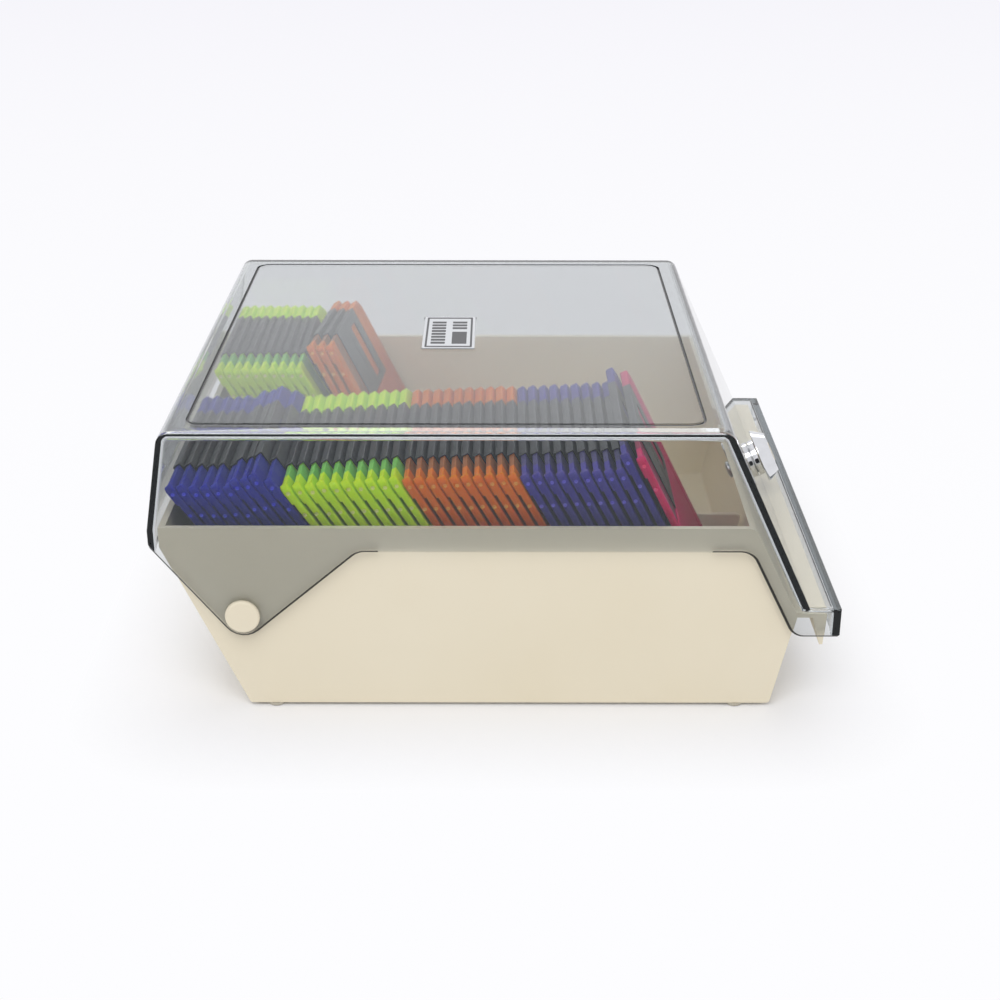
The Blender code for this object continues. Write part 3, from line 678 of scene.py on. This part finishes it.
def black_ink_and_painted_shade():
    """Screen-printed ink: a dense flat black with slightly uneven cover, also painted shade in the lock's
    spacer window.
    """
    made, tree, shader, place = finish("black_ink_and_painted_shade", IOR=1.5)
    cover = add(tree, "ShaderNodeTexNoise", {"Vector": place, "Scale": per(0.7), "Detail": 2.0})
    vary(tree, shader, cover, ("#26262A", "#3A3A3F"), cover, (0.42, 0.6))
    return made


def clear_foot_vinyl():
    """Soft vinyl, moulded: milky, a little light passes, dusty in patches."""
    made, tree, shader, place = finish("clear_foot_vinyl", IOR=1.52, Transmission_Weight=0.25)
    dust = add(tree, "ShaderNodeTexNoise", {"Vector": place, "Scale": per(1.0), "Detail": 3.0})
    vary(tree, shader, dust, ("#D8D2C2", "#BDB6A4"), dust, (0.45, 0.65))
    return made


def plain_sight(tree):
    """1 for rays from the camera, off metal or through the lid, and 0 for light that falls on the box."""
    ray = add(tree, "ShaderNodeLightPath")
    seen = add(tree, "ShaderNodeMath", {
        0: ray.outputs["Is Camera Ray"], 1: ray.outputs["Is Glossy Ray"],
    }, operation="ADD")
    through = add(tree, "ShaderNodeMath", {
        0: seen.outputs["Value"], 1: ray.outputs["Is Transmission Ray"],
    }, operation="ADD", use_clamp=True)
    return through.outputs["Value"]


def white_floor_paper():
    """Matt white paper: in plain sight it fades to an even white beside the box's shadow, and greys far off
    as painted shade.
    """
    made, tree, shader, place = finish(
        "white_floor_paper", Base_Color=tint("#F4F4F6"), Roughness=0.9, Specular_IOR_Level=0.1,
    )
    aside = add(tree, "ShaderNodeVectorMath", {0: place}, operation="ABSOLUTE")
    past = add(tree, "ShaderNodeVectorMath", {
        0: aside.outputs["Vector"], 1: FOOTPRINT,
    }, operation="SUBTRACT")
    outside = add(tree, "ShaderNodeVectorMath", {
        0: past.outputs["Vector"], 1: (0, 0, 0),
    }, operation="MAXIMUM")
    away = add(tree, "ShaderNodeVectorMath", {0: outside.outputs["Vector"]}, operation="LENGTH")
    fade = add(tree, "ShaderNodeMapRange", {
        "Value": away.outputs["Value"], "From Min": SHADOW_FADE[0], "From Max": SHADOW_FADE[1],
    })
    # Painted shade: the white greys along Y, far from the box
    ahead = add(tree, "ShaderNodeSeparateXYZ", {0: place})
    far = add(tree, "ShaderNodeMapRange", {
        "Value": ahead.outputs["Y"], "From Min": PAPER_SHADE_SPAN[0], "From Max": PAPER_SHADE_SPAN[1],
    })
    shade = add(tree, "ShaderNodeMix", {
        0: far.outputs["Result"], MIX_A: tint(WHITE), MIX_B: tint(FAR_WHITE_PAINTED_SHADE),
    }, data_type="RGBA")
    glow = add(tree, "ShaderNodeEmission", {"Color": shade.outputs[MIX_OUT], "Strength": 1.0})
    part = add(tree, "ShaderNodeMath", {
        0: plain_sight(tree), 1: fade.outputs["Result"],
    }, operation="MULTIPLY")
    paper = add(tree, "ShaderNodeMixShader", {
        0: part.outputs["Value"], 1: shader.outputs["BSDF"], 2: glow.outputs["Emission"],
    })
    join(tree, paper.outputs["Shader"], tree.nodes["Material Output"], "Surface")
    return made


def tinted(kind, tints):
    """Styrene in each colour: its light and deep tints and, where it is given, the painted shade lower down.
    """
    made = {}
    for colour, shades in tints.items():
        made[colour] = translucent_styrene(f"{kind}{colour}_styrene", *shades)
    return made


CREAM = moulded_cream_abs()
SMOKE = smoked_styrene()
# Painted shade: opaque near-black on the lid's lower rim and in its groove
SMOKE_PAINTED_SHADE = smoked_painted_shade()
SHUTTER = black_shutter_sheet()
CHROME = plated_metal("chromed_zinc", ("#E2E3E6", "#D2D3D6"), (0.05, 0.14), 3.0)
ZINC = plated_metal("zinc_plated_steel", ("#C9CBCE", "#B4B6B8"), (0.28, 0.42), 1.5)
NICKEL = plated_metal("nickel_plated_brass", ("#D6D0C2", "#C4BDAD"), (0.16, 0.28), 2.0)
FILM = silvered_film()
INK_AND_PAINTED_SHADE = black_ink_and_painted_shade()
VINYL = clear_foot_vinyl()
# The third tint of each colour is painted shade, lower down
STYRENE = tinted("", {
    "blue": ("#2024A4", "#171B8C", "#24262E"),
    "green": ("#D4FF00", "#C0FF00", "#BABA28"),
    "orange": ("#EA7C02", "#DE6800", "#A43412"),
    "violet": ("#483C9E", "#3A2E88", "#4A4858"),
    "red": ("#DA2068", "#CA165A", "#B01648"),
})
# Painted highlight: the moulded pits get a lighter tint for the glints of light in them
PIT_GLINT_STYRENE = tinted("painted_glint_", {
    "blue": ("#5C62F0", "#4A50DC", "#5C62F0"),
    "green": ("#F4FFA6", "#ECFF90", "#F4FFA6"),
    "orange": ("#FFC26A", "#FFB050", "#FFB050"),
    "violet": ("#8E84E8", "#7C72D8", "#8E84E8"),
    "red": ("#FF6A9C", "#FF588C", "#FF6A9C"),
})
# Where the wall is thin the dark disc shows through it
THIN_STYRENE = tinted("thin_", {
    "blue": ("#28329A", "#202A86"),
    "green": ("#86D25E", "#70BE52"),
    "orange": ("#A8683C", "#965A32"),
    "violet": ("#4E4878", "#443E6C"),
    "red": ("#9A3454", "#8A2A48"),
})


# Lid and plate

def pivot_place(turn=1):
    """Place of a shape turned about the hinge's axis: outwards to the near side, or at -1 to the far one."""
    return Matrix.Translation(PIVOT) @ Matrix.Rotation(turn * math.pi / 2, 4, "X")


def smoked_lid():
    """The lid's side outline pulled across, hollowed from below, then its holes and groove."""
    builder = slab(LID_UPPER + LID_LOWER, -LID_HALF_WIDTH, LID_HALF_WIDTH, "Y")
    # Undersides take the painted shade, the rest stays clear
    for face in builder.faces:
        face.material_index = LID_PAINTED_SHADE if face.normal.z < -NEAR_ENOUGH else CLEAR
    for x in CLEAR_RIM:
        score(builder, (x, 0, 0), (1, 0, 0))
    for y in (-BORDER_Y, BORDER_Y):
        score(builder, (0, y, 0), (0, 1, 0))
    for vert in builder.verts:
        if abs(vert.co.y) > BORDER_Y + NEAR_ENOUGH and vert.co.z > LID_TOP - TOP_ZONE:
            vert.co.z -= BORDER_FALL
    soften(builder, side_edges(builder, LID_HALF_WIDTH)[0], LID_EDGE, segments=1)
    # The flat cut along each lower edge takes the painted shade
    for face in soften(builder, side_edges(builder, LID_HALF_WIDTH)[1], CUT_FLAT, segments=1):
        face.material_index = LID_PAINTED_SHADE
    lid = solid("smoked_lid", builder)
    lid.data.materials.append(SMOKE)
    lid.data.materials.append(SMOKE_PAINTED_SHADE)
    inner = LID_HALF_WIDTH - LID_WALL
    hollow = slab(LID_INSIDE, -inner, inner, "Y")
    soften(hollow, side_edges(hollow, inner)[0], LID_FILLET, segments=4)
    carve(lid, hollow)
    for face in lid.data.polygons:
        if CLEAR_RIM[0] < face.center.x < CLEAR_RIM[1] or abs(face.center.y) < inner:
            face.material_index = CLEAR
    groove = rectangle(*GROOVE)
    carve(
        lid,
        placed(bore(*PIVOT_HOLE), pivot_place()),
        placed(bore(*PANEL_HOLE), LOCK_PLACE),
        band(groove, LID_TOP - STEP_DEPTH, TOP_OVERCUT, STEP_WIDTH),
        # The groove's cutter gives its walls the painted shade
        painted(band(groove, LID_TOP - GROOVE_DEPTH, TOP_OVERCUT, GROOVE_WIDTH), LID_PAINTED_SHADE),
        slab(grown(PLATE, PLATE_GAP, PLATE_CORNER), LID_TOP - BED_DEPTH, LID_TOP + TOP_OVERCUT, "Z"),
    )
    dress(lid, SMOKE, "lid", "smoked_clear", "lid_shell", crease=LID_CREASE)
    # The top's border keeps a crisp edge, although it turns by little
    for edge in lid.data.edges:
        ends = [lid.data.vertices[index].co / MM for index in edge.vertices]
        if all(abs(abs(end.y) - BORDER_Y) < NEAR_ENOUGH and end.z > LID_TOP - NEAR_ENOUGH for end in ends):
            edge.use_edge_sharp = True


def label():
    """Plate let into the lid's top, with a printed frame and plain bars."""
    builder = slab(rectangle(*PLATE), PLATE_LOW, PLATE_TOP, "Z")
    soften(builder, above(sharp(builder), PLATE_TOP - NEAR_ENOUGH), PLATE_EDGE, segments=2)
    dress(solid("title_plate", builder), FILM, "lid", "label_plate", "label_plate")
    outline = grown(PLATE, -PRINT_MARGIN, PRINT_CORNER)
    printed = band(outline, PRINT_LOW, PRINT_TOP - PRINT_LOW, PRINT_LINE, PRINT_SHORTEN)
    marks = solid("title_plate_print", printed)
    bars = [(*RIGHT_BARS, BAR_START, BLOCK_END)]
    for number in range(BAR_ROWS):
        start = BAR_START + BAR_PITCH * number
        bars.append((*LEFT_BARS, start, start + BAR_WIDTH))
        if number >= BLOCK_ROWS:
            bars.append((*RIGHT_BARS, start, start + BAR_WIDTH))
    for bar in bars:
        carve(marks, slab(rectangle(*bar, BAR_CORNER), PRINT_LOW, PRINT_TOP, "Z"), operation="UNION")
    dress(marks, INK_AND_PAINTED_SHADE, "lid", "label_plate")


# Tray, divider, feet and hinge

def cream_tray():
    """The tray's side outline pulled across, joined to its ledge, then hollowed, notched and bored."""
    builder = slab(TRAY_OUTSIDE, -TRAY_HALF_WIDTH, TRAY_HALF_WIDTH, "Y")
    upright = [edge for edge in across(builder, 1) if reach(edge, 2) > TRAY_RISE]
    soften(builder, upright, TRAY_CORNER, segments=6)
    tray = solid("cream_tray", builder)
    carve(tray, slab(LEDGE, -LEDGE_END, LEDGE_END, "Y"), operation="UNION")
    inner = TRAY_HALF_WIDTH - TRAY_WALL
    carve(
        tray,
        slab(TRAY_INSIDE, -inner, inner, "Y"),
        slab(rectangle(*CAM_NOTCH), -CAM_NOTCH_HALF, CAM_NOTCH_HALF, "Y"),
        placed(bore(*PIVOT_HOLE), pivot_place()),
    )
    dress(tray, CREAM, "base", "cream_abs", "base_tray", edge=TRAY_EDGE)


def divider():
    """Low wall between the two rows, rounded along its top."""
    builder = slab(DIVIDER, -DIVIDER_HALF, DIVIDER_HALF, "Y")
    soften(builder, above(sharp(builder), DIVIDER_UPPER), DIVIDER_EDGE)
    dress(solid("row_wall", builder), CREAM, "base", "cream_abs", "row_divider")


def feet():
    """Soft round pads under the four corners."""
    for name, (x, y) in FEET.items():
        builder = turned(FOOT_PAD)
        soften(builder, sharp(builder), FOOT_EDGE)
        pad = solid(f"{name}_pad", builder, Matrix.Translation((x, y, 0)))
        dress(pad, VINYL, "base", "foot_pad", name)


def hinge_plugs():
    """Plug pins with a round cap, pushed through lid and tray from each side, and their clips' finish."""
    for side, turn in (("near", 1), ("far", -1)):
        builder = turned(HINGE_PLUG, steps=64)
        soften(builder, sharp(builder), HINGE_PLUG_EDGE)
        plug = solid(f"hinge_plug_{side}", builder, pivot_place(turn))
        dress(plug, CREAM, "base", "cream_abs", f"hinge_pin_{side}")
        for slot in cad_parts[f"hinge_clip_{side}"].material_slots:
            slot.material = ZINC


# Lock

def fit_to_panel(obj, material, body, slot, node, edge=0.0):
    """Sets a piece of the lock on the lid's front panel and finishes it."""
    obj.data.transform(LOCK_PLACE)
    dress(obj, material, body, slot, node, edge=edge)


def lock_body():
    """What stays with the lid: bezel, spacer with a small window, threaded sleeve and hex nut."""
    builder = turned(BEZEL, steps=72, ring=True)
    soften(builder, sharp(builder), BEZEL_EDGE, segments=4)
    dress(solid("lock_bezel", builder, LOCK_PLACE), CHROME, "lid", "lock_chrome", "lock_head")

    collar = solid("lock_spacer", turned(SPACER, steps=64, ring=True))
    # Painted shade: the window is a shallow recess whose faces take the black, for a dark hole
    window = slab(rectangle(*SPACER_WINDOW), *SPACER_WINDOW_REACH, "Y", steps=4)
    placed(window, Matrix.Rotation(math.radians(SPACER_WINDOW_TURN), 4, "Z"))
    collar.data.materials.append(CHROME)
    collar.data.materials.append(INK_AND_PAINTED_SHADE)
    carve(collar, painted(window, 1))
    fit_to_panel(collar, CHROME, "lid", "lock_chrome", "lock_collar", SPACER_EDGE)

    profile = [*SLEEVE_HEAD]
    for ridge in range(THREAD_RIDGES):
        top = THREAD_TOP - THREAD_PITCH * ridge
        profile += [(THREAD_CREST, top), (THREAD_ROOT, top - THREAD_FALL)]
    profile += SLEEVE_TAIL
    sleeve = solid("lock_sleeve", turned(profile, steps=64, ring=True), LOCK_PLACE)
    dress(sleeve, ZINC, "lid", "lock_chrome", "lock_barrel")

    hexagon = bmesh.new()
    bmesh.ops.create_circle(hexagon, cap_ends=True, radius=NUT_RADIUS, segments=6)
    bmesh.ops.translate(hexagon, verts=hexagon.verts[:], vec=(0, 0, NUT_LOW))
    pull(hexagon, (0, 0, NUT_THICK))
    soften(hexagon, across(hexagon, 2), NUT_ROUND)
    nut = solid("lock_hex_nut", hexagon)
    carve(nut, bore(*NUT_HOLE))
    fit_to_panel(nut, ZINC, "lid", "plated_steel", "lock_nut", STEEL_EDGE)


def lock_core():
    """What turns with the key: plug with its key slot, cam bar, and the bolt that holds the cam."""
    plug = solid("lock_key_plug", turned(KEY_PLUG, steps=56))
    carve(
        plug,
        slab(rectangle(*KEY_SLOT), *KEY_DEPTH, "Z"),
        slab(rectangle(*KEY_WARD), *KEY_DEPTH, "Z"),
        bore(*KEY_PLUG_HOLE),
    )
    fit_to_panel(plug, NICKEL, "lock_core", "lock_plug", "lock_plug", KEY_PLUG_EDGE)

    bar = solid("lock_cam_bar", slab(rectangle(*CAM_BAR), *CAM_BAR_DEPTH, "Z"))
    carve(bar, bore(*CAM_HOLE))
    fit_to_panel(bar, ZINC, "lock_core", "plated_steel", "lock_cam", STEEL_EDGE)

    builder = turned(CAM_BOLT, steps=40)
    soften(builder, sharp(builder), STEEL_EDGE, segments=2)
    bolt = solid("lock_cam_bolt", builder)
    long, short = BOLT_CROSS_REACH, BOLT_CROSS_HALF
    carve(
        bolt,
        slab(rectangle(-long, long, -short, short), *BOLT_CROSS_DEPTH, "Z"),
        slab(rectangle(-short, short, -long, long), *BOLT_CROSS_DEPTH, "Z"),
    )
    fit_to_panel(bolt, ZINC, "lock_core", "plated_steel", "lock_cam_screw")


# Diskettes

def case_mesh():
    """One diskette case, upright: X through its thickness, Y across, Z up to the shutter's edge."""
    half, top = CASE_HALF, CASE_HEIGHT
    outline = (
        (-half, 0, CASE_CORNER), (-half, top, CASE_CORNER), (half - CUT_CORNER, top, CUT_CORNER_ROUND),
        (half, top - CUT_CORNER, CUT_CORNER_ROUND), (half, 0, CASE_CORNER),
    )
    builder = slab(outline, 0, CASE_THICK, "X", steps=3)
    soften(builder, across(builder, 0), CASE_ROUND)
    case = solid("case", builder)
    through = (-OVERCUT, CASE_THICK + OVERCUT)
    track = solid("track", slab(rectangle(*TRACK), *through, "X"))
    carve(track, slab(rectangle(*TRACK_CORE), TRACK_DEPTH, CASE_THICK - TRACK_DEPTH, "X"))
    cutter = bmesh.new()
    cutter.from_mesh(mesh_only(track))
    cuts = [cutter]
    for side in (-1, 1):
        for drop in PIT_DROPS:
            spot = Matrix.Translation((CASE_THICK / 2, side * half, top - drop))
            turn = Matrix.Rotation(side * math.pi / 2, 4, "X")
            # The pits take the painted highlight
            cuts.append(placed(painted(turned(PIT, steps=12), PAINTED_GLINT), spot @ turn))
        hole = side * HOLE_Y
        cuts.append(slab(rectangle(hole - HOLE_HALF, hole + HOLE_HALF, *HOLE_Z), *through, "X"))
        edge, inner = side * (half + OVERCUT), side * (half - GRIP_WIDTH)
        grip = rectangle(min(edge, inner), max(edge, inner), *GRIP_Z, GRIP_CORNER)
        cuts.append(slab(grip, -OVERCUT, GRIP_DEPTH, "X", steps=2))
    cuts.append(slab(rectangle(*LABEL_RECESS), CASE_THICK - LABEL_DEPTH, CASE_THICK + OVERCUT, "X", steps=3))
    carve(case, *cuts)
    mesh = mesh_only(case)
    builder = bmesh.new()
    builder.from_mesh(mesh)
    for y in THIN_WALL:
        score(builder, (0, y, 0), (0, 1, 0))
    low, high = THIN_WALL
    for face in builder.faces:
        middle = face.calc_center_median()
        if face.material_index != PAINTED_GLINT:
            face.material_index = THIN if low < middle.y < high and middle.z > SHUTTER_LOW else PLAIN
    builder.to_mesh(mesh)
    builder.free()
    return mesh


def shutter_mesh():
    """One sliding shutter: a thin sheet folded over the top edge, with its head window on both faces."""
    half, low, top = SHUTTER_HALF, SHUTTER_LOW, CASE_HEIGHT
    builder = slab(rectangle(-half, half, low, top), 0, CASE_THICK, "X")
    fold = [edge for edge in above(builder.edges, top - NEAR_ENOUGH) if reach(edge, 1) > half]
    soften(builder, fold, SHUTTER_SHEET)
    sleeve = solid("sleeve", builder)
    room = rectangle(-half - OVERCUT, half + OVERCUT, low - OVERCUT, top - SHUTTER_SHEET)
    front = CASE_THICK + OVERCUT
    carve(
        sleeve,
        slab(room, SHUTTER_SHEET, CASE_THICK - SHUTTER_SHEET, "X"),
        slab(rectangle(*HEAD_WINDOW), -OVERCUT, front, "X", steps=3),
        slab(rectangle(*PRESSED_PANEL), CASE_THICK - PRESSED_DEPTH, front, "X", steps=3),
    )
    return mesh_only(sleeve)


def stand(x, y, lean, proud=0.0, lift=0.0, roll=0.0):
    """Place of a diskette whose lower rear edge stands at x, leaning back from upright."""
    tilt = Matrix.Rotation(-math.radians(lean), 4, "Y")
    foot = Vector((x, y, STAND_Z + lift)) + tilt @ Vector((0, 0, proud))
    return Matrix.Translation(foot) @ tilt @ Matrix.Rotation(math.radians(roll), 4, "X")


def near_lean(number):
    """Lean of a diskette of the near row, between the leans that are known along it."""
    for (start, lean), (end, next_lean) in zip(NEAR_LEANS, NEAR_LEANS[1:]):
        if number <= end:
            return lean + (next_lean - lean) * (number - start) / (end - start)


def diskettes():
    """Both rows from the rear: tens of one colour, then single ones, whose shutters slide."""
    case, shutter = case_mesh(), shutter_mesh()

    def put(case_name, sleeve_name, colour, places, node, rides="base", *sleeve_nodes):
        cases = solid(case_name, copies(case, places))
        for plastic in (STYRENE, THIN_STYRENE, PIT_GLINT_STYRENE):
            cases.data.materials.append(plastic[colour])
        dress(cases, STYRENE[colour], "base", f"disk_{colour}", node)
        sleeves = solid(sleeve_name, copies(shutter, places))
        dress(sleeves, SHUTTER, rides, "disk_shutter", *sleeve_nodes)

    def ten(name, colour, places, node):
        put(f"{name}_cases", f"{name}_shutters", colour, places, node)

    def single(name, colour, place):
        slider, sleeve_node = f"{name}_shutter_slider", f"{name}_shutter"
        put(f"{name}_case", f"{name}_sleeve", colour, [place], f"{name}_disk", slider, sleeve_node)

    x, number = NEAR_ROW_X, 0
    for colour, (prouds, slack) in NEAR_ROW.items():
        places = []
        for proud in prouds:
            lean = near_lean(number)
            places.append(stand(x, -ROW_Y, lean, proud))
            x += CASE_THICK / math.cos(math.radians(lean)) + slack / len(prouds)
            number += 1
        ten(f"{colour}_diskette", colour, places, f"{colour}_disks")
    single("red", "red", stand(x, -ROW_Y, RED_LEAN, RED_PROUD))

    x = FAR_ROW_X
    places = []
    for proud in FAR_GREEN:
        places.append(stand(x, ROW_Y, FAR_LEAN, proud))
        x += CASE_THICK / math.cos(math.radians(FAR_LEAN))
    ten("far_green_diskette", "green", places, "far_green_disks")
    x += LOOSE_GAP
    slope = math.cos(math.radians(LOOSE_LEAN))
    lift = CASE_HALF * math.sin(math.radians(LOOSE_ROLL)) * slope
    for number in range(LOOSE_COUNT):
        foot = x + number * LOOSE_PITCH / slope
        place = stand(foot, ROW_Y - LOOSE_SHIFT, LOOSE_LEAN, lift=lift, roll=-LOOSE_ROLL)
        single(f"orange_{number + 1}", "orange", place)


# Studio

def studio_floor():
    """Wide pale floor that takes the box's shadow."""
    builder = bmesh.new()
    bmesh.ops.create_grid(builder, x_segments=1, y_segments=1, size=FLOOR_SIZE)
    floor = shaped("studio_floor", builder)
    floor.data.materials.append(white_floor_paper())


def surroundings():
    """Even white all round, weaker as light than as it is seen."""
    world = bpy.data.worlds.new("white_surroundings")
    world.use_nodes = True
    bpy.context.scene.world = world
    tree = world.node_tree
    level = add(tree, "ShaderNodeMapRange", {
        "Value": plain_sight(tree), "To Min": LIGHT_LEVEL, "To Max": SEEN_LEVEL,
    })
    back = tree.nodes["Background"]
    back.inputs["Color"].default_value = tint(WHITE)
    join(tree, level.outputs["Result"], back, "Strength")


def lamps():
    """Soft rectangular lamps, each turned to its aim."""
    for name, (place, aim, size, watts) in LAMPS.items():
        data = bpy.data.lights.new(name, "AREA")
        data.shape = "RECTANGLE"
        data.size, data.size_y = size
        data.energy = watts
        lamp = shown(name, data)
        lamp.location = place
        lamp.rotation_euler = (Vector(aim) - Vector(place)).to_track_quat("-Z", "Y").to_euler()


def photo_camera():
    """The camera, at the photograph's angle."""
    data = bpy.data.cameras.new("photo_camera")
    data.sensor_width = CAMERA_SENSOR
    data.sensor_fit = "HORIZONTAL"
    data.lens = CAMERA_LENS
    data.clip_start = CAMERA_NEAR
    camera = shown("photo_camera", data)
    camera.location = CAMERA_PLACE
    camera.rotation_euler = [math.radians(degrees) for degrees in CAMERA_TURN]
    bpy.context.scene.camera = camera
    bpy.context.scene.view_settings.view_transform = "Standard"


studio_floor()
surroundings()
lamps()
photo_camera()
smoked_lid()
label()
cream_tray()
divider()
feet()
hinge_plugs()
lock_body()
lock_core()
diskettes()
